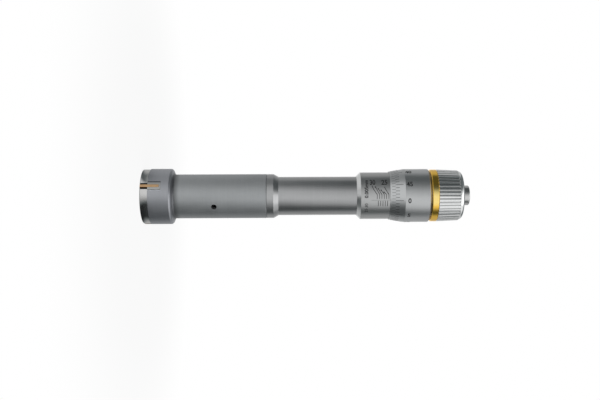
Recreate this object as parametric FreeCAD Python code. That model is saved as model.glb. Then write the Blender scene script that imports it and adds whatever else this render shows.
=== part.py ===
import FreeCAD
import Part
import math
import os

# Three-point inside micrometer, standing on its measuring face.
# Origin: centre of the front face. +Z runs up the spindle, towards the ratchet.
# Lengths in millimetres, angles in degrees about +Z.

# Screw and cone that drive the anvils
screw_pitch = 0.5
scale_turns = 11.0
cone_ratio = 0.5  # radius that the cone gains per millimetre of its length
feed = screw_pitch * scale_turns
anvil_travel = feed * cone_ratio

# Clearances
seat_gap = 0.04  # round fixed seats
run_gap = 0.05  # round running fits
rod_gap = 0.1  # push rod and ratchet screw in their holes
slot_gap = 0.06  # each side of an anvil in its slot
face_gap = 0.05  # flat faces that slide past each other
cone_gap = 0.03  # anvil foot off the cone
hang_gap = 0.1  # spring ends off their seats
stop_room = 0.25  # left at the end of an anvil's travel
feed_room = 0.5  # left in front of the thimble's hub at full feed

# Short runs per turn of every coil spring
coil_steps = 10

# Body tube
tube_r = 9.7
tube_wall = 1.76
tube_len = 39.9
joint_edge = 0.18
pin_hole_r = 1.2
pin_hole_from_head = 17.25
pin_hole_angle = 299.0
tube_bore_r = tube_r - tube_wall
spigot_r = tube_bore_r - seat_gap

# Measuring head
anvil_count = 3
anvil_start = 8.0
head_step = 2.5
head_r = tube_r + head_step
head_len = 9.03
head_edge = 0.15
shoulder_len = 2.0
shoulder_round_len = 0.85
shoulder_round_drop = 1.0
shoulder_bulge = 0.2
shoulder_foot = 0.5
shoulder_foot_len = 0.75
shoulder_hollow = 0.12
head_spigot_len = 9.65

# Front cover and its screws
cover_step = 0.25
cover_r = head_r - cover_step
cover_len = 3.32
cover_edge = 0.35
cover_slot_w = 2.8
cover_slot_depth = 2.95
screw_margin = 3.75
screw_circle_r = cover_r - screw_margin
screw_r = 1.0
screw_head_r = 1.9
screw_len = 7.5
screw_slot_w = 0.45
screw_slot_depth = 0.5

# Anvils and their ridges
anvil_w = 3.3
slot_edge = 0.4
blade_len = 5.53
blade_inner_r = 2.6
foot_len = 3.4
foot_relief = 0.5
foot_margin = 4.2
foot_top_r = head_r - foot_margin
foot_inner_r = 1.13
ridge_w = 1.2
ridge_stand = 0.03
ridge_seat = 0.9
ridge_front = 0.1
ridge_end_gap = 0.7
fin_depth = 2.05

# Anvil return springs
anvil_spring_bore_r = 0.95
anvil_spring_bore_len = 3.0
anvil_spring_r = 0.62
anvil_spring_wire_r = 0.18
anvil_spring_turns = 5

# Cone plunger and the pin that keeps it from turning
nose_r = 1.0
plunger_margin = 2.4
plunger_r = spigot_r - plunger_margin
plunger_end_len = 8.8
key_r = 0.75
key_depth = 0.85
key_angle = 188.0
key_from_end = 2.4

# Push rod, thrust ball and return spring
rod_r = 2.5
rod_grip_len = 6.0
rod_collar_margin = 0.6
rod_collar_r = spigot_r - rod_collar_margin
rod_collar_len = 2.0
rod_collar_gap = 0.3
ball_r = 1.6
ball_cup_r = 1.1
ball_cup_depth = 0.7
ball_room = 0.9
return_spring_wire_r = 0.45
return_spring_margin = 0.25
return_spring_turns = 7
return_spring_r = rod_collar_r - return_spring_margin - return_spring_wire_r

# Main barrel with its collar and neck
barrel_spigot_len = 10.2
collar_len = 3.05
collar_slope = 30.0
neck_step = 1.25
neck_r = tube_r - neck_step
neck_len = 34.1
barrel_rear_len = 22.9
barrel_step_len = 9.9
clamp_slit_w = 0.6
clamp_slit_len = 9.0
clamp_slits = 3

# Graduated sleeve
sleeve_wall = 1.86
sleeve_r = neck_r + sleeve_wall
sleeve_len = 18.4
sleeve_edge = 1.65
sleeve_mouth = 0.3
sleeve_shown = 14.27
zero_hole_r = 0.6
zero_hole_from_front = 5.0
index_angle = 281.4

# Adjusting nut on the slit end of the barrel
nut_margin = 0.5
nut_r = sleeve_r - nut_margin
nut_len = 3.9
nut_gap = 0.25
nut_taper = 0.5
nut_slot_w = 1.2
nut_slot_depth = 0.7
nut_slots = 4

# Spindle
spindle_r = 4.0
spindle_shoulder_step = 1.0
spindle_shoulder_r = spindle_r + spindle_shoulder_step
spindle_shoulder_len = 0.8
spindle_shoulder_stand = 0.3
spindle_taper = 0.7
spindle_taper_end_r = spindle_shoulder_r - spindle_taper
spindle_edge = 0.3
spindle_end_gap = 0.1

# Thimble
thimble_gap = 0.1
thimble_edge_wall = 0.2
thimble_wall = 1.31
thimble_bore_r = sleeve_r + thimble_gap
thimble_edge_r = thimble_bore_r + thimble_edge_wall
thimble_r = thimble_bore_r + thimble_wall
thimble_bevel_len = 6.45
thimble_wall_len = 2.95
thimble_end_edge = 0.55
boss_step = 4.12
boss_r = thimble_r - boss_step
boss_len = 5.55

# Ratchet wheel and click ring
wheel_step = 0.7
wheel_r = boss_r - wheel_step
wheel_len = 2.0
ratchet_teeth = 24
tooth_w = 0.86
tooth_depth = 0.5
tooth_inner_r = 3.9
tooth_gap = 0.06
tooth_margin = 0.2
click_step = 0.6
click_r = boss_r - click_step
click_len = 1.2
click_face_gap = 0.1
lug_count = 3
lug_w = 2.0
lug_reach = 1.6
lug_gap = 0.1
ratchet_spring_r = 4.6
ratchet_spring_wire_r = 0.4
ratchet_spring_turns = 2

# Ratchet grip and its ring
ring_step = 0.22
ring_r = thimble_r - ring_step
ring_wall = 2.25
ring_bore_r = ring_r - ring_wall
ring_len = 3.0
ring_gap = 0.45
ring_edge = 0.3
grip_step = 0.05
grip_r = ring_r - grip_step
grip_taper = 0.42
grip_rear_r = grip_r - grip_taper
grip_len = 9.4
rim_step = 0.22
rim_step_len = 0.12
rim_len = 1.7
rim_round = 1.8
rim_face_r = grip_rear_r - rim_round
rim_bulge = 0.42
grip_wall_len = 1.8
flute_count = 44
flute_start = 269.4
flute_w = 0.54
flute_depth = 0.45
flute_lip_w = 1.2
flute_lip_depth = 0.12
flute_end_gap = 0.2
flute_clear = 0.06

# Ratchet screw with its round end button
bolt_r = 1.6
bolt_reach = 8.0
bolt_end_room = 0.5
bolt_shoulder_r = 2.4
click_bore_r = bolt_shoulder_r + rod_gap + rod_gap
button_r = 4.4
button_len = 3.2
button_edge = 0.55
button_gap = 0.1
socket_across = 3.0
socket_depth = 1.6

# Stations along the axis, from the front face up
z_cover = cover_len
z_head = z_cover + head_len
z_shoulder = z_head + shoulder_len
z_pin_hole = z_shoulder + pin_hole_from_head
z_head_spigot = z_shoulder + head_spigot_len
z_tube = z_shoulder + tube_len
z_barrel_front = z_tube - barrel_spigot_len
z_collar = z_tube + collar_len
z_neck = z_collar + (tube_r - neck_r) / math.tan(math.radians(collar_slope))
z_sleeve = z_neck + neck_len
z_barrel = z_sleeve + barrel_rear_len
z_sleeve_end = z_sleeve + sleeve_len
z_nut = z_sleeve_end + nut_gap
z_edge = z_sleeve + sleeve_shown
z_hub = z_barrel + feed_room + feed
z_thimble = z_hub + thimble_wall_len
z_boss = z_thimble + boss_len
z_ring = z_thimble + ring_gap
z_grip = z_ring + ring_len
z_rim = z_grip + grip_len
z_end = z_rim + rim_len
z_button = z_end + button_gap
z_wheel = z_boss + wheel_len
z_click = z_wheel + click_face_gap
z_click_end = z_click + click_len
z_grip_wall = z_end - grip_wall_len

# Stations of the anvils and the plunger
z_anvil = z_cover + face_gap
z_blade = z_anvil + blade_len
z_foot_end = z_blade + foot_len
z_foot_face = z_blade + foot_relief
z_nose = z_foot_face - (foot_inner_r - cone_gap - nose_r) / cone_ratio
z_cone_end = z_nose + (plunger_r - nose_r) / cone_ratio
z_plunger = z_cone_end + plunger_end_len
foot_ceiling_r = foot_top_r + anvil_travel + stop_room

# Stations of the push rod
z_rod = z_plunger - rod_grip_len
z_rod_collar_end = z_barrel_front - rod_collar_gap
z_rod_collar = z_rod_collar_end - rod_collar_len
z_barrel_step = z_barrel_front + barrel_step_len
ball_seat = math.sqrt(ball_r**2 - ball_cup_r**2) + cone_gap
z_spindle = z_barrel_step + feed + ball_room
z_ball = z_spindle - ball_seat
z_rod_end = z_ball - ball_seat

rod_bore_r = rod_r + rod_gap
spindle_bore_r = spindle_r + run_gap
axis = FreeCAD.Vector(0, 0, 1)
origin = FreeCAD.Vector(0, 0, 0)
anvil_angles = [anvil_start + i * 360.0 / anvil_count for i in range(anvil_count)]


def edge_to(start, end, bulge):
    """Straight edge, or an arc that stands out by bulge to the right of its run."""
    if bulge == 0:
        return Part.makeLine(start, end)
    run = end - start
    out = FreeCAD.Vector(run.z, 0, -run.x).normalize()
    middle = (start + end) * 0.5 + out * bulge
    return Part.Arc(start, middle, end).toShape()


def turned(*corners):
    """Solid turned about the axis. Each corner is radius, height and the bulge of the edge before it."""
    points = [FreeCAD.Vector(c[0], 0, c[1]) for c in corners]
    edges = []
    for i, corner in enumerate(corners):
        bulge = corner[2] if len(corner) > 2 else 0
        edges.append(edge_to(points[i - 1], points[i], bulge))
    face = Part.Face(Part.Wire(edges))
    solid = face.revolve(origin, axis, 360)
    if solid.Volume < 0:
        solid.reverse()
    return solid


def around(shape, angle):
    """Copy of a shape turned about the axis."""
    return shape.rotated(origin, axis, angle)


def radial_block(width, inner, outer, low, high):
    """Block centred on the +X direction, from one radius to another."""
    corner = FreeCAD.Vector(inner, -width / 2, low)
    return Part.makeBox(outer - inner, width, high - low, corner)


def radial_hole(radius, inner, outer, height, angle):
    """Round cutter that lies along a radius."""
    start = FreeCAD.Vector(inner, 0, height)
    cutter = Part.makeCylinder(radius, outer - inner, start, FreeCAD.Vector(1, 0, 0))
    return around(cutter, angle)


def plate(width, *corners):
    """Plate of a radial section, centred on the +X direction."""
    points = [FreeCAD.Vector(r, -width / 2, z) for r, z in corners]
    face = Part.Face(Part.makePolygon(points + points[:1]))
    solid = face.extrude(FreeCAD.Vector(0, width, 0))
    if solid.Volume < 0:
        solid.reverse()
    return solid


def coil(radius, wire_radius, turns, length):
    """Coil spring along +Z between height 0 and the length, its wire a fine hexagon bent in short runs."""
    height = length - 2 * wire_radius
    steps = int(turns * coil_steps)
    points = []
    for i in range(steps + 1):
        turn = 2 * math.pi * i / coil_steps
        rise = wire_radius + height * i / steps
        points.append(FreeCAD.Vector(radius * math.cos(turn), radius * math.sin(turn), rise))
    run = points[1] - points[0]
    side = run.cross(axis).normalize()
    up = side.cross(run).normalize()
    corners = []
    for i in range(6):
        turn = math.radians(30 + 60 * i)
        corners.append(points[0] + side * (wire_radius * math.cos(turn)) + up * (wire_radius * math.sin(turn)))
    section = Part.makePolygon(corners + corners[:1])
    spring = Part.makePolygon(points).makePipeShell([section], True, False, 1)
    if spring.Volume < 0:
        spring.reverse()
    return spring


def save(name, shape):
    shape.exportStep("parts/" + name + ".step")


os.makedirs("parts", exist_ok=True)

# Front cover: disc with a slot for each ridge and countersunk screw holes
cover = turned(
    (0, 0),
    (cover_r - cover_edge, 0),
    (cover_r, cover_edge),
    (cover_r, z_cover),
    (0, z_cover),
)
cover_slot = radial_block(cover_slot_w, cover_r - cover_slot_depth, cover_r + 1, -1, z_cover + 1)
head_drop = screw_head_r - screw_r
screw_sink = turned(
    (0, -1),
    (screw_head_r + seat_gap, -1),
    (screw_head_r + seat_gap, face_gap),
    (screw_r + seat_gap, face_gap + head_drop),
    (screw_r + seat_gap, face_gap + screw_len + seat_gap),
    (0, face_gap + screw_len + seat_gap),
)
screw_sink.translate(FreeCAD.Vector(screw_circle_r, 0, 0))
between = 180.0 / anvil_count
for angle in anvil_angles:
    cover = cover.cut(around(cover_slot, angle))
    cover = cover.cut(around(screw_sink, angle + between))
save("front_cover", cover)

# Cover screws: countersunk, with a driver slot
screw = turned(
    (0, face_gap),
    (screw_head_r, face_gap),
    (screw_r, face_gap + head_drop),
    (screw_r, face_gap + screw_len),
    (0, face_gap + screw_len),
)
driver_slot = Part.makeBox(
    2 * screw_head_r + 1,
    screw_slot_w,
    screw_slot_depth + face_gap,
    FreeCAD.Vector(-screw_head_r - 0.5, -screw_slot_w / 2, 0),
)
screw = screw.cut(driver_slot)
screws = []
for i, angle in enumerate(anvil_angles):
    placed = screw.rotated(origin, axis, 25.0 + 50.0 * i)
    placed.translate(FreeCAD.Vector(screw_circle_r, 0, 0))
    screws.append(around(placed, angle + between))
save("cover_screws", Part.makeCompound(screws))

# Measuring head: bored through for the plunger, with a stepped slot for each anvil
plunger_bore_r = plunger_r + run_gap
head = turned(
    (plunger_bore_r, z_cover),
    (head_r - head_edge, z_cover),
    (head_r, z_cover + head_edge),
    (head_r, z_head),
    (head_r - shoulder_round_drop, z_head + shoulder_round_len, shoulder_bulge),
    (tube_r + shoulder_foot, z_shoulder - shoulder_foot_len),
    (tube_r, z_shoulder, -shoulder_hollow),
    (spigot_r, z_shoulder),
    (spigot_r, z_head_spigot),
    (plunger_bore_r, z_head_spigot),
)
slot_w = anvil_w + 2 * slot_gap
blade_slot = radial_block(slot_w, 0, head_r + 1, z_cover - 1, z_blade + face_gap)
foot_pocket = radial_block(slot_w, 0, foot_ceiling_r, z_cover - 1, z_foot_end + face_gap)
slot = blade_slot.fuse(foot_pocket).removeSplitter()
slot_edge_r = math.sqrt(head_r**2 - (slot_w / 2) ** 2) - slot_edge
edge_reach = head_r + slot_edge - slot_edge_r
edge_corners = [
    FreeCAD.Vector(slot_edge_r, -slot_w / 2, z_cover - 1),
    FreeCAD.Vector(slot_edge_r, slot_w / 2, z_cover - 1),
    FreeCAD.Vector(slot_edge_r + edge_reach, slot_w / 2 + edge_reach, z_cover - 1),
    FreeCAD.Vector(slot_edge_r + edge_reach, -slot_w / 2 - edge_reach, z_cover - 1),
]
edge_run = FreeCAD.Vector(0, 0, z_blade + face_gap - z_cover + 1)
slot_bevel = Part.Face(Part.makePolygon(edge_corners + edge_corners[:1])).extrude(edge_run)
for angle in anvil_angles:
    head = head.cut(around(slot, angle)).cut(around(slot_bevel, angle))
    head = head.cut(around(screw_sink, angle + between))
z_key = z_head_spigot - key_from_end
key_inner_r = plunger_r - key_depth
head = head.cut(radial_hole(key_r + seat_gap, 0, spigot_r + 1, z_key, key_angle))
save("measuring_head", head)

# Guide pin: stops the plunger from turning
guide_pin = radial_hole(key_r, key_inner_r + face_gap, spigot_r - face_gap, z_key, key_angle)
save("guide_pin", guide_pin)

# Anvils: blade in the slot, foot on the cone, bore for the return spring, groove for the ridge
foot_slope_r = foot_inner_r + (z_foot_end - z_foot_face) * cone_ratio
anvil = plate(
    anvil_w,
    (blade_inner_r, z_anvil),
    (head_r + 1, z_anvil),
    (head_r + 1, z_blade),
    (foot_top_r, z_blade),
    (foot_top_r, z_foot_end),
    (foot_slope_r, z_foot_end),
    (foot_inner_r, z_foot_face),
    (blade_inner_r, z_foot_face),
)
anvil = anvil.common(Part.makeCylinder(head_r, z_head))
z_foot_middle = (z_blade + z_foot_end) / 2
spring_seat_r = foot_top_r - anvil_spring_bore_len
anvil = anvil.cut(radial_hole(anvil_spring_bore_r, spring_seat_r, foot_top_r + 1, z_foot_middle, 0))
ridge_seat_r = head_r - ridge_seat
ridge_slot_w = ridge_w + 2 * seat_gap
z_ridge_end = z_blade - ridge_end_gap
anvil = anvil.cut(radial_block(ridge_slot_w, ridge_seat_r, head_r + 1, z_anvil - 1, z_ridge_end + seat_gap))

# Ridges: hard measuring tips that reach through the cover's slots
fin_r = head_r - fin_depth
ridge_r = head_r + ridge_stand
ridge = plate(
    ridge_w,
    (fin_r, ridge_front),
    (ridge_r + 1, ridge_front),
    (ridge_r + 1, z_ridge_end),
    (ridge_seat_r + seat_gap, z_ridge_end),
    (ridge_seat_r + seat_gap, z_anvil - face_gap),
    (fin_r, z_anvil - face_gap),
)
ridge = ridge.common(Part.makeCylinder(ridge_r, z_head))

# Anvil springs: from the foot's bore to the ceiling of the pocket
anvil_coil = coil(
    anvil_spring_r,
    anvil_spring_wire_r,
    anvil_spring_turns,
    foot_ceiling_r - spring_seat_r - 2 * hang_gap,
)
anvil_coil.rotate(origin, FreeCAD.Vector(0, 1, 0), 90)
anvil_coil.translate(FreeCAD.Vector(spring_seat_r + hang_gap, 0, z_foot_middle))
for i, angle in enumerate(anvil_angles):
    number = str(i + 1)
    save("anvil_" + number, around(anvil, angle))
    save("anvil_ridge_" + number, around(ridge, angle))
    save("anvil_spring_" + number, around(anvil_coil, angle))

# Cone plunger: drives the three anvils outwards
plunger = turned(
    (0, z_nose),
    (nose_r, z_nose),
    (plunger_r, z_cone_end),
    (plunger_r, z_plunger),
    (0, z_plunger),
)
keyway = radial_block(
    2 * (key_r + slot_gap),
    key_inner_r,
    plunger_r + 1,
    z_key - key_r - slot_gap,
    z_plunger + 1,
)
plunger = plunger.cut(around(keyway, key_angle))
rod_socket = Part.makeCylinder(rod_r + seat_gap, rod_grip_len + 1, FreeCAD.Vector(0, 0, z_rod - seat_gap))
plunger = plunger.cut(rod_socket)
save("cone_plunger", plunger)

# Push rod: carries the plunger, its collar takes the return spring
rod = turned(
    (0, z_rod),
    (rod_r, z_rod),
    (rod_r, z_rod_collar),
    (rod_collar_r, z_rod_collar),
    (rod_collar_r, z_rod_collar_end),
    (rod_r, z_rod_collar_end),
    (rod_r, z_rod_end),
    (0, z_rod_end),
)
rod_cup = Part.makeCylinder(ball_cup_r, ball_cup_depth + 1, FreeCAD.Vector(0, 0, z_rod_end - ball_cup_depth))
rod = rod.cut(rod_cup)
save("push_rod", rod)

# Thrust ball between the push rod and the spindle
ball = Part.makeSphere(ball_r, FreeCAD.Vector(0, 0, z_ball))
save("thrust_ball", ball)

# Return spring: between the head's spigot and the rod's collar
return_coil = coil(
    return_spring_r,
    return_spring_wire_r,
    return_spring_turns,
    z_rod_collar - z_head_spigot - 2 * hang_gap,
)
return_coil.translate(FreeCAD.Vector(0, 0, z_head_spigot + hang_gap))
save("return_spring", return_coil)

# Body tube: joins the head and the barrel, with a blind pin-spanner hole in its wall
tube = turned(
    (tube_bore_r, z_shoulder),
    (tube_r, z_shoulder),
    (tube_r, z_tube - joint_edge),
    (tube_r - joint_edge, z_tube),
    (tube_bore_r, z_tube),
)
tube = tube.cut(radial_hole(pin_hole_r, 0, tube_r + 1, z_pin_hole, pin_hole_angle))
save("body_tube", tube)

# Main barrel: spigot, collar, neck and the slit end that the nut closes on the screw
nut_small_r = neck_r - nut_taper
barrel = turned(
    (rod_bore_r, z_barrel_front),
    (spigot_r, z_barrel_front),
    (spigot_r, z_tube),
    (tube_r - joint_edge, z_tube),
    (tube_r, z_tube + joint_edge),
    (tube_r, z_collar),
    (neck_r, z_neck),
    (neck_r, z_nut),
    (nut_small_r, z_barrel),
    (spindle_bore_r, z_barrel),
    (spindle_bore_r, z_barrel_step),
    (rod_bore_r, z_barrel_step),
)
slit = radial_block(clamp_slit_w, 0, neck_r + 1, z_barrel - clamp_slit_len, z_barrel + 1)
for i in range(clamp_slits):
    barrel = barrel.cut(around(slit, index_angle + i * 360.0 / clamp_slits))
save("main_barrel", barrel)

# Graduated sleeve: turned on the barrel to set zero with a pin in its rear hole
sleeve_bore_r = neck_r + seat_gap
sleeve = turned(
    (sleeve_bore_r, z_sleeve + sleeve_mouth),
    (sleeve_bore_r + sleeve_mouth / 2, z_sleeve),
    (sleeve_r - sleeve_edge, z_sleeve),
    (sleeve_r, z_sleeve + sleeve_edge),
    (sleeve_r, z_sleeve_end),
    (sleeve_bore_r, z_sleeve_end),
)
z_zero_hole = z_sleeve + zero_hole_from_front
sleeve = sleeve.cut(radial_hole(zero_hole_r, neck_r, sleeve_r + 1, z_zero_hole, index_angle + 180))
save("graduated_sleeve", sleeve)

# Adjusting nut: taper bore over the barrel's slit end, slots for its spanner
z_nut_end = z_nut + nut_len
nut_end_r = neck_r - nut_taper * nut_len / (z_barrel - z_nut)
nut = turned(
    (neck_r + seat_gap, z_nut),
    (nut_r, z_nut),
    (nut_r, z_nut_end),
    (nut_end_r + seat_gap, z_nut_end),
)
nut_slot = radial_block(nut_slot_w, nut_small_r, nut_r + 1, z_nut_end - nut_slot_depth, z_nut_end + 1)
for i in range(nut_slots):
    nut = nut.cut(around(nut_slot, i * 360.0 / nut_slots))
save("adjusting_nut", nut)

# Spindle: fine screw, with a taper seat for the thimble and a tapped end
z_spindle_shoulder = z_hub - spindle_shoulder_stand
z_taper = z_spindle_shoulder + spindle_shoulder_len
z_spindle_end = z_boss - spindle_end_gap
spindle = turned(
    (0, z_spindle),
    (spindle_r - spindle_edge, z_spindle),
    (spindle_r, z_spindle + spindle_edge),
    (spindle_r, z_spindle_shoulder),
    (spindle_shoulder_r, z_spindle_shoulder),
    (spindle_shoulder_r, z_taper),
    (spindle_taper_end_r, z_spindle_end),
    (0, z_spindle_end),
)
spindle_cup = Part.makeCylinder(ball_cup_r, ball_cup_depth, FreeCAD.Vector(0, 0, z_spindle))
z_bolt = z_spindle_end - bolt_reach
bolt_hole = Part.makeCylinder(bolt_r + seat_gap, bolt_reach + bolt_end_room + 1, FreeCAD.Vector(0, 0, z_bolt - bolt_end_room))
spindle = spindle.cut(spindle_cup).cut(bolt_hole)
save("spindle", spindle)

# Thimble: bevelled edge over the sleeve, hub on the spindle's taper, boss for the grip
thimble = turned(
    (thimble_bore_r, z_edge),
    (thimble_edge_r, z_edge),
    (thimble_r, z_edge + thimble_bevel_len),
    (thimble_r, z_thimble - thimble_end_edge),
    (thimble_r - thimble_end_edge, z_thimble),
    (boss_r, z_thimble),
    (boss_r, z_boss),
    (spindle_taper_end_r + seat_gap, z_boss),
    (spindle_shoulder_r + seat_gap, z_taper),
    (spindle_shoulder_r + seat_gap, z_hub),
    (thimble_bore_r, z_hub),
)
save("thimble", thimble)


def tooth(extra, low, high, inner, outer):
    """Saw tooth section run out along +X: one steep side, one sloping side."""
    half = tooth_w / 2
    low_y = half + extra
    corners = [
        FreeCAD.Vector(inner, -half - extra, high),
        FreeCAD.Vector(inner, low_y, high),
        FreeCAD.Vector(inner, low_y, low),
    ]
    face = Part.Face(Part.makePolygon(corners + corners[:1]))
    solid = face.extrude(FreeCAD.Vector(outer - inner, 0, 0))
    if solid.Volume < 0:
        solid.reverse()
    return solid


# Ratchet wheel: saw-tooth grooves in its rear face
wheel = turned(
    (bolt_r + seat_gap, z_boss),
    (wheel_r, z_boss),
    (wheel_r, z_wheel),
    (bolt_r + seat_gap, z_wheel),
)
groove = tooth(tooth_gap, z_wheel - tooth_depth - tooth_gap, z_wheel, tooth_inner_r, wheel_r + 1)
grooves = [around(groove, i * 360.0 / ratchet_teeth) for i in range(ratchet_teeth)]
wheel = wheel.cut(Part.makeCompound(grooves))
save("ratchet_wheel", wheel)

# Click ring: matching teeth on its front face, lugs that slide in the grip
click = turned(
    (click_bore_r, z_click),
    (click_r, z_click),
    (click_r, z_click_end),
    (click_bore_r, z_click_end),
)
lug = radial_block(lug_w, click_bore_r + 1, click_r + lug_reach, z_click, z_click_end)
for i in range(lug_count):
    click = click.fuse(around(lug, i * 360.0 / lug_count))
ridge_tooth = tooth(0, z_wheel - tooth_depth + tooth_gap, z_click, tooth_inner_r + tooth_margin, wheel_r - tooth_margin)
teeth = [around(ridge_tooth, i * 360.0 / ratchet_teeth) for i in range(ratchet_teeth)]
click = click.multiFuse(teeth).removeSplitter()
save("click_ring", click)

# Ratchet spring: between the click ring and the grip's end wall
ratchet_coil = coil(
    ratchet_spring_r,
    ratchet_spring_wire_r,
    ratchet_spring_turns,
    z_grip_wall - z_click_end - 2 * hang_gap,
)
ratchet_coil.translate(FreeCAD.Vector(0, 0, z_click_end + hang_gap))
save("ratchet_spring", ratchet_coil)

# Ratchet grip: fluted cup that runs on the thimble's boss
grip_bore_r = boss_r + run_gap
grip = turned(
    (grip_bore_r, z_ring),
    (ring_bore_r - seat_gap, z_ring),
    (ring_bore_r - seat_gap, z_grip),
    (grip_r, z_grip),
    (grip_rear_r, z_rim),
    (grip_rear_r - rim_step, z_rim + rim_step_len),
    (rim_face_r, z_end, rim_bulge),
    (bolt_shoulder_r + rod_gap, z_end),
    (bolt_shoulder_r + rod_gap, z_grip_wall),
    (grip_bore_r, z_grip_wall),
)
lug_slot = radial_block(
    lug_w + 2 * lug_gap,
    grip_bore_r - 1,
    click_r + lug_reach + lug_gap,
    z_ring - 1,
    z_grip_wall,
)
for i in range(lug_count):
    grip = grip.cut(around(lug_slot, i * 360.0 / lug_count))
flute_front_r = grip_r - flute_depth
flute_rear_r = grip_rear_r - flute_depth
flute_lip_r = grip_r - flute_lip_depth
flute_lip_slope = (flute_lip_w - flute_w) / 2 / flute_lip_depth
flute_top = flute_lip_w / 2 + flute_clear * flute_lip_slope
z_flute = z_grip - 0.01
z_flute_end = z_rim - flute_end_gap
flute_corners = [
    FreeCAD.Vector(flute_front_r, 0, z_flute),
    FreeCAD.Vector(flute_lip_r, flute_w / 2, z_flute),
    FreeCAD.Vector(grip_r + flute_clear, flute_top, z_flute),
    FreeCAD.Vector(grip_r + flute_clear, -flute_top, z_flute),
    FreeCAD.Vector(flute_lip_r, -flute_w / 2, z_flute),
]
flute_run = FreeCAD.Vector(flute_rear_r - flute_front_r, 0, z_flute_end - z_flute)
flute = Part.Face(Part.makePolygon(flute_corners + flute_corners[:1])).extrude(flute_run)
flutes = [around(flute, flute_start + i * 360.0 / flute_count) for i in range(flute_count)]
grip = grip.cut(Part.makeCompound(flutes))
save("ratchet_grip", grip)

# Accent ring on the grip's front spigot
ring = turned(
    (ring_bore_r, z_ring),
    (ring_r - ring_edge, z_ring),
    (ring_r, z_ring + ring_edge),
    (ring_r, z_grip - ring_edge),
    (ring_r - ring_edge, z_grip - seat_gap),
    (ring_bore_r, z_grip - seat_gap),
)
save("accent_ring", ring)

# Ratchet screw: holds the wheel on the thimble, its button keeps the grip on
bolt = turned(
    (0, z_bolt),
    (bolt_r, z_bolt),
    (bolt_r, z_wheel),
    (bolt_shoulder_r, z_wheel),
    (bolt_shoulder_r, z_button),
    (button_r, z_button),
    (button_r, z_button + button_len - button_edge),
    (button_r - button_edge, z_button + button_len, button_edge * 0.29),
    (0, z_button + button_len),
)
hexagon = []
for i in range(6):
    turn = math.radians(60.0 * i)
    reach = socket_across / math.sqrt(3)
    height = z_button + button_len - socket_depth
    hexagon.append(FreeCAD.Vector(reach * math.cos(turn), reach * math.sin(turn), height))
socket = Part.Face(Part.makePolygon(hexagon + hexagon[:1])).extrude(FreeCAD.Vector(0, 0, socket_depth + 1))
bolt = bolt.cut(socket)
save("ratchet_screw", bolt)
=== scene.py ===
import math

import bpy
from mathutils import Matrix, Vector


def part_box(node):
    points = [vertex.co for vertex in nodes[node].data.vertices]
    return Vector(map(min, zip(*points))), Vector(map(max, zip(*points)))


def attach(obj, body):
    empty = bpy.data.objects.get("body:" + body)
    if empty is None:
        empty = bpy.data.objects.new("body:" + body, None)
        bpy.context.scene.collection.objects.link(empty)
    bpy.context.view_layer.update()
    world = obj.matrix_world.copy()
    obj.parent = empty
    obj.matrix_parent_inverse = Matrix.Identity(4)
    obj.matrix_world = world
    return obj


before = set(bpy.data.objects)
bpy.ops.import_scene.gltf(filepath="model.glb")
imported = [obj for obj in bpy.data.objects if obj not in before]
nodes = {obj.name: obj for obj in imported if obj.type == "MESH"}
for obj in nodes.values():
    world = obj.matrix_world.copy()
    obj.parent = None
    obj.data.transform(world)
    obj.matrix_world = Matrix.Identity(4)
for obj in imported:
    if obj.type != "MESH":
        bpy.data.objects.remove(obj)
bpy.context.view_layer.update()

MM = 0.001
DEGREE = math.pi / 180.0
BLACK = (0.0, 0.0, 0.0, 1.0)
WHITE = (1.0, 1.0, 1.0, 1.0)
IMAGE_UP = Vector((-1.0, 0.0, 0.0))
AXIS_UP = Vector((0.0, 0.0, 1.0))

# Shader sums


class Wire:
    """A value that runs through a shader, so that sums read as plain expressions."""

    def __init__(self, graph, socket):
        self.graph = graph
        self.socket = socket

    def __add__(self, other):
        return self.graph.sum_of("ADD", self, other)

    def __radd__(self, other):
        return self.graph.sum_of("ADD", other, self)

    def __sub__(self, other):
        return self.graph.sum_of("SUBTRACT", self, other)

    def __rsub__(self, other):
        return self.graph.sum_of("SUBTRACT", other, self)

    def __mul__(self, other):
        return self.graph.sum_of("MULTIPLY", self, other)

    def __rmul__(self, other):
        return self.graph.sum_of("MULTIPLY", other, self)

    def __abs__(self):
        return self.graph.sum_of("ABSOLUTE", self, 0.0)

    def most(self, other):
        """The greater of two values."""
        return self.graph.sum_of("MAXIMUM", self, other)


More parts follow.
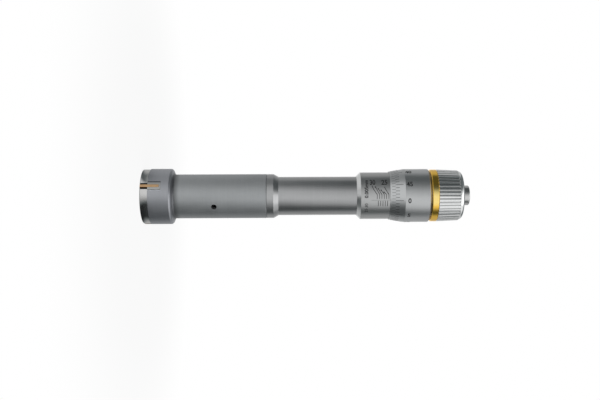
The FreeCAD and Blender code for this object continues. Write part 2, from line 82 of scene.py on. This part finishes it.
class Graph:
    """The nodes of one material or of the world."""

    def __init__(self, tree):
        self.tree = tree
        tree.nodes.clear()

    def node(self, kind, settings=None, sockets=None):
        """Adds a node: its settings first, then the values or links of its sockets."""
        node = self.tree.nodes.new(kind)
        for name, value in (settings or {}).items():
            setattr(node, name, value)
        for name, value in (sockets or {}).items():
            if isinstance(value, Wire):
                self.tree.links.new(value.socket, node.inputs[name])
            else:
                node.inputs[name].default_value = value
        return node

    def wire(self, node, name=0):
        """An output of a node."""
        return Wire(self, node.outputs[name])

    def rise(self, value, low, high):
        """0 below the low end, 1 above the high end, smooth between."""
        node = self.node(
            "ShaderNodeMapRange",
            {"interpolation_type": "SMOOTHSTEP"},
            {"Value": value, "From Min": low, "From Max": high},
        )
        return self.wire(node, "Result")

    def band(self, value, low, high, soft):
        """1 between the low and the high end, 0 outside, with soft edges."""
        outside = self.rise(value, high - soft, high + soft)
        return self.rise(value, low - soft, low + soft) * (1.0 - outside)

    def blend(self, share, first, second):
        """Colour between two colours."""
        node = self.node("ShaderNodeMix", {"data_type": "RGBA"}, {0: share, 6: first, 7: second})
        return self.wire(node, 2)

    def sum_of(self, operation, *values):
        """One step of arithmetic."""
        sockets = dict(enumerate(values))
        return self.wire(self.node("ShaderNodeMath", {"operation": operation}, sockets))

    def angle(self, across, along):
        """Angle of a direction, from its parts across and along."""
        return self.sum_of("ARCTAN2", across, along)

    def stretched(self, place, along):
        """Coordinates with another scale on each axis."""
        sockets = {"Vector": place, "Scale": along}
        return self.wire(self.node("ShaderNodeMapping", {"vector_type": "POINT"}, sockets))

    def scaled(self, colour, level):
        """Colour made darker or brighter."""
        sockets = {0: colour, "Scale": level}
        return self.wire(self.node("ShaderNodeVectorMath", {"operation": "SCALE"}, sockets))

    def across(self, place):
        """Distance from the axis, angle about it and height, of a place."""
        parts = self.node("ShaderNodeSeparateXYZ", None, {0: place})
        x, y, z = (self.wire(parts, i) for i in range(3))
        reach = self.sum_of("SQRT", x * x + y * y)
        return reach, self.angle(y, x), z

    def lit(self, level):
        """Light of a level from 0 to 1, a little cooler where it is dim."""
        tint = self.blend(self.rise(level, 0.1, 0.5), (0.88, 0.985, 1.0, 1.0), (0.985, 1.0, 1.0, 1.0))
        return self.blend(level, BLACK, tint)

    def grain(self, place, scale, detail=3.0, rough=0.55):
        """Cloudy pattern in the metal."""
        node = self.node(
            "ShaderNodeTexNoise",
            {"noise_dimensions": "3D"},
            {"Vector": place, "Scale": scale, "Detail": detail, "Roughness": rough},
        )
        return self.wire(node)


def shade(colour, level):
    """Plain colour made darker or brighter."""
    return (colour[0] * level, colour[1] * level, colour[2] * level, 1.0)


def finish_on(name):
    """A new material's graph and the coordinates that its grain follows."""
    material = bpy.data.materials.new(name)
    material.use_nodes = True
    graph = Graph(material.node_tree)
    place = graph.wire(graph.node("ShaderNodeTexCoord"), "Object")
    return material, graph, place


def close_finish(graph, sockets):
    """Ends a material's graph with its surface."""
    surface = graph.node("ShaderNodeBsdfPrincipled", None, sockets)
    graph.node("ShaderNodeOutputMaterial", None, {"Surface": graph.wire(surface)})


def turned_metal(
    name, colour, roughness, spread=0.05, groove=0.4, cloud=0.06, tone=None, relief=None,
):
    """Metal finished on a lathe: fine rings about the axis, handling haze and a little depth.
    The tone makes it darker or brighter by place, as painted shade and painted highlight, and the relief
    is a height in metres."""
    material, graph, place = finish_on(name)
    rings = graph.grain(graph.stretched(place, (60.0, 60.0, 2600.0)), 1.0, 4.0, 0.7)
    blast = graph.grain(place, 2400.0, 2.0)
    haze = graph.grain(graph.stretched(place, (1.0, 1.0, 0.6)), 160.0, 3.0, 0.5)
    share = graph.rise(rings * 0.35 + haze * 0.45 + blast * 0.2, 0.36, 0.64)
    base = graph.blend(share, shade(colour, 1.0 - spread), shade(colour, 1.0 + spread))
    if tone:
        base = graph.scaled(base, tone(graph, place))
    rough = roughness + (haze - 0.5) * cloud + (rings - 0.5) * (cloud * 0.8) + (blast - 0.5) * 0.03
    bump = graph.node(
        "ShaderNodeBump",
        None,
        {"Strength": groove, "Distance": 0.000006, "Height": rings * 0.6 + blast * 0.4},
    )
    if relief:
        bump = graph.node("ShaderNodeBump", None, {
            "Strength": 1.0, "Distance": 1.0, "Height": relief(graph, place), "Normal": graph.wire(bump),
        })
    close_finish(graph, {
        "Base Color": base, "Metallic": 1.0, "Roughness": rough, "Normal": graph.wire(bump),
    })
    return material


def ground_metal(name, colour, roughness, lay=(900.0, 900.0, 120.0), tone=None):
    """Metal finished on a grinder: straight fine scratches."""
    material, graph, place = finish_on(name)
    lines = graph.grain(graph.stretched(place, lay), 2.0, 4.0, 0.65)
    haze = graph.grain(place, 240.0, 2.0)
    base = graph.blend(lines * 0.6 + haze * 0.4, shade(colour, 0.86), shade(colour, 1.12))
    # The tone is painted light: darker or brighter by place.
    if tone:
        base = graph.scaled(base, tone(graph, place))
    bump = graph.node("ShaderNodeBump", None, {"Strength": 0.4, "Distance": 0.000006, "Height": lines})
    close_finish(graph, {
        "Base Color": base, "Metallic": 1.0, "Roughness": roughness + (lines - 0.5) * 0.12,
        "Normal": graph.wire(bump),
    })
    return material


def hard_coat(name, low, high, roughness, painted_slant_shade=None):
    """Gold-coloured hard coating, a little redder where it is thicker.
    Where it is seen aslant, its colour is a painted shade of deeper orange."""
    material, graph, place = finish_on(name)
    rings = graph.grain(graph.stretched(place, (80.0, 80.0, 1800.0)), 1.0, 3.0, 0.6)
    haze = graph.grain(place, 210.0, 2.0)
    base = graph.blend(graph.rise(rings * 0.4 + haze * 0.6, 0.35, 0.65), (*low, 1.0), (*high, 1.0))
    if painted_slant_shade:
        # Painted shade: a deeper orange towards the sides that are seen aslant.
        facing = graph.wire(graph.node("ShaderNodeLayerWeight"), "Facing")
        base = graph.blend(graph.rise(facing, 0.04, 0.12), base, (*painted_slant_shade, 1.0))
    bump = graph.node("ShaderNodeBump", None, {"Strength": 0.15, "Distance": 0.000005, "Height": rings})
    close_finish(graph, {
        "Base Color": base, "Metallic": 1.0, "Roughness": roughness + (haze - 0.5) * 0.08,
        "Normal": graph.wire(bump),
    })
    return material


def mark_fill(name, colour, roughness):
    """Paint that fills the engraved lines and figures."""
    material, graph, place = finish_on(name)
    speck = graph.grain(place, 5200.0, 3.0, 0.6)
    wear = graph.grain(place, 600.0, 2.0)
    share = graph.rise(speck * 0.5 + wear * 0.5, 0.35, 0.7)
    base = graph.blend(share, shade(colour, 0.75), shade(colour, 1.5))
    bump = graph.node("ShaderNodeBump", None, {"Strength": 0.3, "Distance": 0.000004, "Height": speck})
    close_finish(graph, {
        "Base Color": base, "Metallic": 0.0, "Roughness": roughness + (speck - 0.5) * 0.2,
        "Normal": graph.wire(bump),
    })
    return material


# Finishes


def off_anvil(graph, angle):
    """Angle about the axis from the middle of the nearest anvil."""
    first, half_pitch = 8.0 * DEGREE, 60.0 * DEGREE
    return graph.sum_of("WRAP", angle - first, half_pitch, -half_pitch)


def head_tone(graph, place):
    """Painted shade in the corner at the foot of the shoulder. One edge of each anvil slot gets painted
    shade, the other a painted highlight.
    """
    _, angle, z = graph.across(place)
    painted_root_shade = graph.rise(z, 13.15 * MM, 13.9 * MM)
    off = off_anvil(graph, angle)
    along_slot = 1.0 - graph.rise(z, 8.95 * MM, 9.1 * MM)
    painted_slot_shade = graph.band(off, -10.4 * DEGREE, -7.8 * DEGREE, 0.2 * DEGREE)
    painted_slot_highlight = graph.band(off, 7.8 * DEGREE, 10.2 * DEGREE, 0.2 * DEGREE)
    return (1.0 - 0.6 * painted_root_shade) * (1.0 + along_slot * (0.9 * painted_slot_highlight - 0.55 * painted_slot_shade))


def anvil_tone(graph, place):
    """Painted highlight on one side, where it lies in its slot."""
    reach, angle, _ = graph.across(place)
    side = graph.rise(off_anvil(graph, angle), 7.68 * DEGREE, 7.76 * DEGREE)
    return 1.0 + 1.1 * side * graph.rise(reach, 11.2 * MM, 11.4 * MM)


def cover_tone(graph, place):
    """Painted shade inside the slots and screw holes."""
    reach, _, z = graph.across(place)
    inside = (1.0 - graph.rise(reach, 11.3 * MM, 11.55 * MM)) * graph.rise(z, 0.05 * MM, 0.1 * MM)
    return 1.0 - 0.92 * inside


def tube_tone(graph, place):
    """Painted shade beside the head's shoulder."""
    _, _, z = graph.across(place)
    return 0.45 + 0.55 * graph.rise(z, 14.0 * MM, 16.9 * MM)


def sleeve_tone(graph, place):
    """Painted highlight on the front chamfer."""
    _, _, z = graph.across(place)
    return 1.6 - 0.6 * graph.rise(z, 95.1 * MM, 95.3 * MM)


def flute_depth(graph, place):
    """Depth of a place below the top of the grip's flutes."""
    grip_r, grip_z, grip_slope = 11.45 * MM, 128.84 * MM, 0.0447
    reach, _, z = graph.across(place)
    depth = grip_r - (z - grip_z) * grip_slope - reach
    return depth * (1.0 - graph.rise(z, 137.9 * MM, 138.1 * MM))


def grip_tone(graph, place):
    """Painted shade in the flutes."""
    return 1.0 - 0.55 * graph.rise(flute_depth(graph, place), 0.1 * MM, 0.34 * MM)


def grip_relief(graph, place):
    """Flutes clogged below their lips, so that they look flatter than they were cut."""
    lip = 0.05 * MM
    return (flute_depth(graph, place) - lip).most(0.0)


head_satin = turned_metal(
    "head satin chrome", (0.44, 0.447, 0.475), 0.46, spread=0.06, cloud=0.08, tone=head_tone,
)
tube_satin = turned_metal(
    "tube satin chrome", (0.475, 0.487, 0.497), 0.52, spread=0.06, cloud=0.1, tone=tube_tone,
)
barrel_satin = turned_metal("barrel satin chrome", (0.445, 0.445, 0.45), 0.30)
sleeve_satin = turned_metal("sleeve satin chrome", (0.50, 0.50, 0.50), 0.31, tone=sleeve_tone)
thimble_satin = turned_metal("thimble satin chrome", (0.565, 0.57, 0.575), 0.33, spread=0.04, cloud=0.05)
grip_satin = turned_metal(
    "grip satin chrome", (0.90, 0.90, 0.90), 0.16, spread=0.03, tone=grip_tone, relief=grip_relief,
)
polished = turned_metal(
    "polished steel", (0.60, 0.59, 0.585), 0.13, spread=0.03, groove=0.2, cloud=0.03, tone=cover_tone,
)
button_polished = turned_metal(
    "polished button", (0.60, 0.595, 0.59), 0.20, spread=0.03, groove=0.2, cloud=0.04,
)
ground = ground_metal("ground steel", (0.50, 0.50, 0.49), 0.32)
anvil_ground = ground_metal("ground anvil steel", (0.43, 0.43, 0.42), 0.36, tone=anvil_tone)
blackened = ground_metal("blackened steel", (0.10, 0.10, 0.105), 0.42)
spring_wire = ground_metal("spring wire", (0.40, 0.40, 0.41), 0.36, lay=(700.0, 700.0, 700.0))
ring_gold = hard_coat(
    "ring gold", (1.0, 0.74, 0.25), (1.0, 0.80, 0.31), 0.13, painted_slant_shade=(0.98, 0.60, 0.10),
)
ridge_gold = hard_coat("ridge gold", (0.46, 0.28, 0.15), (0.60, 0.40, 0.22), 0.26)
black_fill = mark_fill("black line fill", (0.018, 0.018, 0.02), 0.5)
grey_fill = mark_fill("grey line fill", (0.30, 0.30, 0.30), 0.5)

finishes = {
    "front_cover": polished,
    "cover_screws": blackened,
    "measuring_head": head_satin,
    "guide_pin": blackened,
    "anvil_1": anvil_ground, "anvil_2": anvil_ground, "anvil_3": anvil_ground,
    "anvil_ridge_1": ridge_gold, "anvil_ridge_2": ridge_gold, "anvil_ridge_3": ridge_gold,
    "anvil_spring_1": spring_wire, "anvil_spring_2": spring_wire, "anvil_spring_3": spring_wire,
    "cone_plunger": ground,
    "push_rod": ground,
    "thrust_ball": ground,
    "return_spring": spring_wire,
    "body_tube": tube_satin,
    "main_barrel": barrel_satin,
    "graduated_sleeve": sleeve_satin,
    "adjusting_nut": ground,
    "spindle": ground,
    "thimble": thimble_satin,
    "ratchet_wheel": ground,
    "click_ring": ground,
    "ratchet_spring": spring_wire,
    "ratchet_grip": grip_satin,
    "accent_ring": ring_gold,
    "ratchet_screw": button_polished,
}
for name, finish in finishes.items():
    for slot in nodes[name].material_slots:
        slot.material = finish

# The marks of a round part are laid out flat, with the part's girth along X, its length along Z
# and its outside towards -Y, and are then bent round the axis. X = 0 comes to 270 degrees.

MARK_RISE = 0.014 * MM
MARK_ROOT = 0.016 * MM
MARK_STEP = 0.45 * MM
FRONT_ANGLE = 270.0


def only(piece):
    """Makes one object the only one selected."""
    bpy.ops.object.select_all(action="DESELECT")
    piece.select_set(True)
    bpy.context.view_layer.objects.active = piece


def settle(piece):
    """Puts an object's place into its mesh."""
    only(piece)
    bpy.ops.object.transform_apply(location=True, rotation=True, scale=True)


def join(pieces, name):
    """Makes one named object of several."""
    only(pieces[0])
    for piece in pieces:
        piece.select_set(True)
    bpy.ops.object.join()
    pieces[0].name = name
    pieces[0].data.name = name
    return pieces[0]


def bar(x, z, width, height, lean=0.0):
    """Straight flat mark with rounded corners, in the flat layout."""
    middle = (MARK_ROOT - MARK_RISE) / 2
    bpy.ops.mesh.primitive_cube_add(size=1.0, location=(x, middle, z), rotation=(0.0, lean, 0.0))
    piece = bpy.context.object
    piece.scale = (width, MARK_ROOT + MARK_RISE, height)
    settle(piece)
    bpy.ops.object.mode_set(mode="EDIT")
    bpy.ops.mesh.select_all(action="SELECT")
    bpy.ops.mesh.bevel(offset=0.0035 * MM, segments=1, affect="EDGES")
    bpy.ops.object.mode_set(mode="OBJECT")
    return piece


def words(text, x, z, height, turn, weight=0.0, squeeze=1.0):
    """Figures in the flat layout. The turn gives the way that they run and their upward way, the
    weight thickens them and the squeeze makes them narrower or wider."""
    bpy.ops.object.text_add(location=(0.0, 0.0, 0.0))
    piece = bpy.context.object
    piece.data.body = text
    piece.data.align_x = "CENTER"
    piece.data.align_y = "CENTER"
    piece.data.offset = weight
    piece.data.resolution_u = 4
    bpy.ops.object.convert(target="MESH")
    low = [min(v.co[i] for v in piece.data.vertices) for i in range(2)]
    high = [max(v.co[i] for v in piece.data.vertices) for i in range(2)]
    size = height / (high[1] - low[1])
    piece.location = (-(low[0] + high[0]) / 2 * size * squeeze, -(low[1] + high[1]) / 2 * size, 0.0)
    piece.scale = (size * squeeze, size, size)
    settle(piece)
    bpy.ops.object.mode_set(mode="EDIT")
    bpy.ops.mesh.select_all(action="SELECT")
    bpy.ops.mesh.remove_doubles(threshold=1e-7)
    thickness = (0.0, 0.0, MARK_ROOT + MARK_RISE)
    bpy.ops.mesh.extrude_region_move(TRANSFORM_OT_translate={"value": thickness})
    bpy.ops.mesh.select_all(action="SELECT")
    bpy.ops.mesh.normals_make_consistent(inside=False)
    bpy.ops.object.mode_set(mode="OBJECT")
    along, up = turn
    out = along.cross(up)
    place = Matrix((along, up, out)).transposed().to_4x4()
    place.translation = Vector((x, MARK_ROOT, z))
    piece.matrix_world = place
    settle(piece)
    return piece


def stroke(points, width):
    """Thin drawn line through points (x, z) of the flat layout."""
    bpy.ops.curve.primitive_nurbs_path_add(location=(0.0, 0.0, 0.0))
    piece = bpy.context.object
    bpy.ops.object.mode_set(mode="EDIT")
    bpy.ops.curve.select_all(action="SELECT")
    bpy.ops.curve.delete(type="VERT")
    bpy.ops.object.mode_set(mode="OBJECT")
    line = piece.data.splines.new("NURBS")
    line.points.add(len(points) - 1)
    for point, (x, z) in zip(line.points, points):
        point.co = (x, 0.0, z, 1.0)
    line.order_u = min(3, len(points))
    line.use_endpoint_u = True
    line.resolution_u = 6
    piece.data.bevel_depth = width / 2
    piece.data.bevel_resolution = 1
    piece.data.use_fill_caps = True
    bpy.ops.object.convert(target="MESH")
    piece = bpy.context.object
    piece.scale = (1.0, MARK_RISE / (width / 2), 1.0)
    settle(piece)
    return piece


def wrap(piece, radius):
    """Slices a flat layout into narrow strips and bends it round the axis."""
    only(piece)
    low = min(v.co.x for v in piece.data.vertices)
    high = max(v.co.x for v in piece.data.vertices)
    bpy.ops.object.mode_set(mode="EDIT")
    cuts = int((high - low) / MARK_STEP)
    for i in range(cuts):
        x = low + (high - low) * (i + 1) / (cuts + 1)
        bpy.ops.mesh.select_all(action="SELECT")
        bpy.ops.mesh.bisect(plane_co=(x, 0.0, 0.0), plane_no=(1.0, 0.0, 0.0))
    bpy.ops.object.mode_set(mode="OBJECT")
    bend = piece.modifiers.new("bend", "SIMPLE_DEFORM")
    bend.deform_method = "BEND"
    bend.deform_axis = "Z"
    bend.angle = (high - low) / radius
    bpy.ops.object.modifier_apply(modifier="bend")
    piece.location = (0.0, -radius, 0.0)
    settle(piece)
    return piece


def turned_copy(piece, angle):
    """Copy with its own mesh, turned about the axis."""
    twin = piece.copy()
    twin.data = piece.data.copy()
    bpy.context.scene.collection.objects.link(twin)
    twin.rotation_euler = (0.0, 0.0, math.radians(angle))
    settle(twin)
    return twin


def mark_done(piece, finish, body):
    """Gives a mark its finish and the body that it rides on."""
    piece.data.materials.clear()
    piece.data.materials.append(finish)
    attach(piece, body)


# Figures that read along the tool, and figures that climb round it
upright = (AXIS_UP, IMAGE_UP)
climbing = (IMAGE_UP, -AXIS_UP)

# The sleeve's marks

sleeve_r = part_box("graduated_sleeve")[1].x
index_angle = 281.4
line_w = 0.24 * MM
leader_w = 0.32 * MM
dot_w = 0.52 * MM
index_w = 0.16 * MM
upper_line, lower_line = 102.1, 102.58
upper_start, upper_end = 267.2, 278.2
lower_start, lower_end = 283.0, 296.2


def girth(angle):
    """Place along the sleeve's girth of an angle about the axis."""
    return math.radians(angle - FRONT_ANGLE) * sleeve_r


def sleeve_line(height, start, end, width):
    """Line round the sleeve at a height in millimetres, between two angles."""
    return bar(girth((start + end) / 2), height * MM, girth(end) - girth(start), width)


# A line for every millimetre of feed, above and below the index line
sleeve_lines = []
for i in range(6):
    sleeve_lines.append(sleeve_line(upper_line + i, upper_start, upper_end, line_w))
for i in range(5):
    sleeve_lines.append(sleeve_line(lower_line + i, lower_start, lower_end, line_w))

# Drawn lines towards the upper lines, as heights in millimetres and angles. The first and the last
# come from figures, and the others start with a dot.
leaders = [
    [(99.99, 245.3), (100.02, 249.9), (101.78, 265.6)],
    [(101.37, 249.4), (102.74, 263.8)],
    [(102.6, 253.6), (103.75, 264.8)],
    [(103.8, 257.0), (104.78, 265.1)],
    [(105.02, 262.1), (105.78, 265.8)],
    [(105.15, 249.1), (106.05, 258.0), (106.78, 264.8)],
]
for i, points in enumerate(leaders):
    places = [*points, (upper_line + i, upper_start)]
    sleeve_lines.append(stroke([(girth(angle), height * MM) for height, angle in places], leader_w))
for points in leaders[1:-1]:
    height, angle = points[0]
    sleeve_lines.append(bar(girth(angle), height * MM, dot_w, dot_w, lean=math.radians(45.0)))
sleeve_scale = wrap(join(sleeve_lines, "sleeve_scale"), sleeve_r)
mark_done(sleeve_scale, black_fill, "frame")

sleeve_words = [
    words("30", girth(236.3), 100.2 * MM, 2.7 * MM, upright, weight=0.03, squeeze=0.7),
    words("25", girth(236.3), 105.3 * MM, 2.7 * MM, upright, weight=0.03, squeeze=0.76),
    words("0.005mm", girth(253.0), 97.5 * MM, 1.62 * MM, climbing, weight=0.03, squeeze=1.05),
    words("25-30", girth(302.0), 97.5 * MM, 1.3 * MM, climbing, weight=0.01, squeeze=1.1),
]
sleeve_numbers = wrap(join(sleeve_words, "sleeve_numbers"), sleeve_r)
mark_done(sleeve_numbers, black_fill, "frame")

index_line = wrap(bar(girth(index_angle), 103.8 * MM, index_w, 8.6 * MM), sleeve_r)
index_line.name = "index_line"
mark_done(index_line, grey_fill, "frame")

# The thimble's marks

thimble_edge, thimble_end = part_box("thimble")
thimble_r = thimble_end.x
thimble_edge_r = sleeve_r + 0.3 * MM
bevel_len = 6.45 * MM
slope = (thimble_r - thimble_edge_r) / bevel_len
divisions = 50
step = 360.0 / divisions


def bevel_bar(start, end, width):
    """Flat mark that lies on the bevel, towards 270 degrees."""
    middle = (start + end) / 2
    piece = bar(0.0, 0.0, width, (end - start) * math.hypot(1.0, slope))
    piece.rotation_euler = (math.atan(slope), 0.0, 0.0)
    piece.location = (0.0, -(thimble_edge_r + (middle - thimble_edge.z) * slope), middle)
    settle(piece)
    return piece


tick_w = 0.19 * MM
half_tick_w = 0.12 * MM
tick_z = 110.05 * MM
short_tick = bevel_bar(tick_z, 111.75 * MM, tick_w)
long_tick = bevel_bar(tick_z, 113.4 * MM, tick_w)
half_tick = bevel_bar(108.5 * MM, tick_z, half_tick_w)
ticks = []
for i in range(divisions):
    angle = index_angle - FRONT_ANGLE + i * step
    ticks.append(turned_copy(long_tick if i % 5 == 0 else short_tick, angle))
    ticks.append(turned_copy(half_tick, angle + step / 2))
for piece in (short_tick, long_tick, half_tick):
    bpy.data.objects.remove(piece)
thimble_scale = join(ticks, "thimble_scale")
mark_done(thimble_scale, black_fill, "thimble")

figures = []
for value in range(0, divisions, 5):
    figure = words(str(value), 0.0, 116.0 * MM, 2.2 * MM, upright, weight=0.03, squeeze=0.95)
    figure = wrap(figure, thimble_r)
    figure.rotation_euler = (0.0, 0.0, math.radians(index_angle - FRONT_ANGLE + value * step))
    settle(figure)
    figures.append(figure)
thimble_numbers = join(figures, "thimble_numbers")
mark_done(thimble_numbers, black_fill, "thimble")

# Light that polished metal sees in the studio

room_dark, box_level, wall_level = 0.1, 0.95, 0.53


def studio_level(graph, turn, dark, box, walls, shaded, lean):
    """Light that metal sees round the object, by the turn from the front: a soft box in front, dark
    flags beside it and pale walls behind. The box has its start, end and the softness of both, the
    walls have their start and end, and the lean turns the walls."""
    start, end, rim, fade = box
    opens = graph.rise(turn - start, 0.0 - rim, rim)
    closes = graph.rise(turn - end, -fade, fade)
    box_light = dark + opens * (1.0 - closes) * (box_level - dark)
    wall_light = dark + graph.rise(abs(turn - lean), *walls) * (wall_level - dark)
    flag_light = (1.0 - graph.rise(turn, -45.0 * DEGREE, -15.0 * DEGREE)) * shaded
    return box_light.most(wall_light).most(flag_light)


# The floor, which metal sees as the studio's lower half. Its levels change with the distance from
# the axis: past the head, farther out and farthest.

bpy.ops.mesh.primitive_plane_add(size=6.0, location=(0.0, 0.0, 0.0))
floor = bpy.context.object
floor.name = "floor"
floor_material, paint, place = finish_on("pale floor")
spot = paint.node("ShaderNodeSeparateXYZ", None, {0: place})
spot_side, spot_depth = paint.wire(spot, 0), paint.wire(spot, 1)
spot_turn = paint.angle(spot_side, 0.0 - spot_depth)
away = paint.wire(paint.node("ShaderNodeVectorMath", {"operation": "LENGTH"}, {0: place}), "Value")
rays = paint.node("ShaderNodeLightPath")
in_camera = paint.wire(rays, "Is Camera Ray")
in_metal = paint.wire(rays, "Is Glossy Ray") + paint.wire(rays, "Is Transmission Ray")
past_head = paint.rise(away, 0.018, 0.04)
farther = paint.rise(away, 0.04, 0.16)
farthest = paint.rise(away, 0.25, 0.6)
mirrored = studio_level(
    paint, spot_turn,
    dark=0.03 + 0.06 * past_head - 0.03 * farthest,
    box=(
        farther * (-16.0 * DEGREE) - 46.0 * DEGREE, farther * (22.0 * DEGREE) + 8.0 * DEGREE,
        13.0 * DEGREE, 20.0 * DEGREE,
    ),
    walls=(
        past_head * (35.0 * DEGREE) + 58.0 * DEGREE, past_head * (15.0 * DEGREE) + 105.0 * DEGREE,
    ),
    shaded=0.16 + past_head * (0.5 - 0.3 * farthest),
    lean=4.0 * DEGREE,
)
mirrored = mirrored.most(paint.rise(abs(spot_turn), 145.0 * DEGREE, 160.0 * DEGREE))
# Under the object's foot the floor turns black as metal sees it, a painted shadow, and there the camera
# sees only the lit card.
outside_painted_shadow = paint.rise(away, 11.2 * MM, 12.2 * MM)
mirrored = mirrored * outside_painted_shadow
mottle = paint.grain(place, 14.0)
card = paint.node("ShaderNodeBsdfDiffuse", None, {
    "Color": paint.blend(mottle, (0.88, 0.88, 0.88, 1.0), (0.92, 0.92, 0.92, 1.0)),
})
glow = paint.node("ShaderNodeEmission", None, {
    "Color": paint.blend(in_camera, paint.lit(mirrored), WHITE), "Strength": 1.0,
})
white_share = in_camera * outside_painted_shadow * (0.9 + 0.1 * paint.rise(away, 0.05, 0.16))
both = paint.node("ShaderNodeMixShader", None, {
    0: white_share + in_metal, 1: paint.wire(card), 2: paint.wire(glow),
})
paint.node("ShaderNodeOutputMaterial", None, {"Surface": paint.wire(both)})
floor.data.materials.append(floor_material)

# The room, by the height and the turn of a direction

world = bpy.data.worlds.new("studio")
bpy.context.scene.world = world
world.use_nodes = True
room = Graph(world.node_tree)
way = room.wire(room.node("ShaderNodeTexCoord"), "Generated")
look = room.node("ShaderNodeSeparateXYZ", None, {0: way})
side, depth, height = (room.wire(look, i) for i in range(3))
turn = room.angle(side, 0.0 - depth)
low_down = room.rise(0.0 - height, -0.08, 0.14)
aloft = room.rise(height, 0.138, 0.165)
level = studio_level(
    room, turn,
    dark=room_dark,
    box=(
        height * (140.0 * DEGREE) + aloft * (9.0 * DEGREE) - 44.0 * DEGREE,
        height * (150.0 * DEGREE) - aloft * (17.0 * DEGREE) + 49.0 * DEGREE,
        aloft * (8.0 * DEGREE) + 13.0 * DEGREE, 16.0 * DEGREE,
    ),
    walls=(91.0 * DEGREE - aloft * (7.0 * DEGREE), 117.0 * DEGREE - aloft * (7.0 * DEGREE)),
    shaded=0.1 + 0.36 * low_down,
    lean=-2.0 * DEGREE,
)
top_dark, top_light = 0.14, 0.78
overhead = room.rise(side, -0.5, -0.1) * room.rise(0.0 - depth, -0.45, -0.02)
overhead = top_dark + overhead * (top_light - top_dark)
level = level + room.rise(height, 0.35, 0.6) * (overhead - level)
rays = room.node("ShaderNodeLightPath")
backdrop = room.rise(depth, 0.84, 0.94)
seen = room.wire(rays, "Is Camera Ray").most(
    (room.wire(rays, "Is Glossy Ray") + room.wire(rays, "Is Transmission Ray")) * backdrop
)
sky = room.node("ShaderNodeBackground", None, {
    "Color": room.blend(seen, room.lit(level), WHITE), "Strength": 1.0,
})
room.node("ShaderNodeOutputWorld", None, {"Surface": room.wire(sky)})

key_place = Vector((0.12, -0.25, 0.5))
key_target = Vector((0.0, 0.0, 0.06))
bpy.ops.object.light_add(type="AREA", location=key_place)
key = bpy.context.object
key.name = "overhead softbox"
key.data.shape = "RECTANGLE"
key.data.size = 0.4
key.data.size_y = 0.4
key.data.energy = 0.35
key.rotation_euler = (key_place - key_target).to_track_quat("Z", "Y").to_euler()

# Camera

camera_place = Vector((0.0018, -0.3686, 0.06885))
roll = math.radians(0.22)
right = math.cos(roll) * AXIS_UP - math.sin(roll) * IMAGE_UP
up = math.sin(roll) * AXIS_UP + math.cos(roll) * IMAGE_UP
back = Vector((0.0, -1.0, 0.0))
bpy.ops.object.camera_add()
camera = bpy.context.object
camera.name = "camera"
stand = Matrix((right, up, back)).transposed().to_4x4()
stand.translation = camera_place
camera.matrix_world = stand
camera.data.lens = 50.0
camera.data.sensor_width = 36.0
camera.data.clip_start = 0.01
bpy.context.scene.camera = camera
bpy.context.scene.view_settings.view_transform = "Standard"
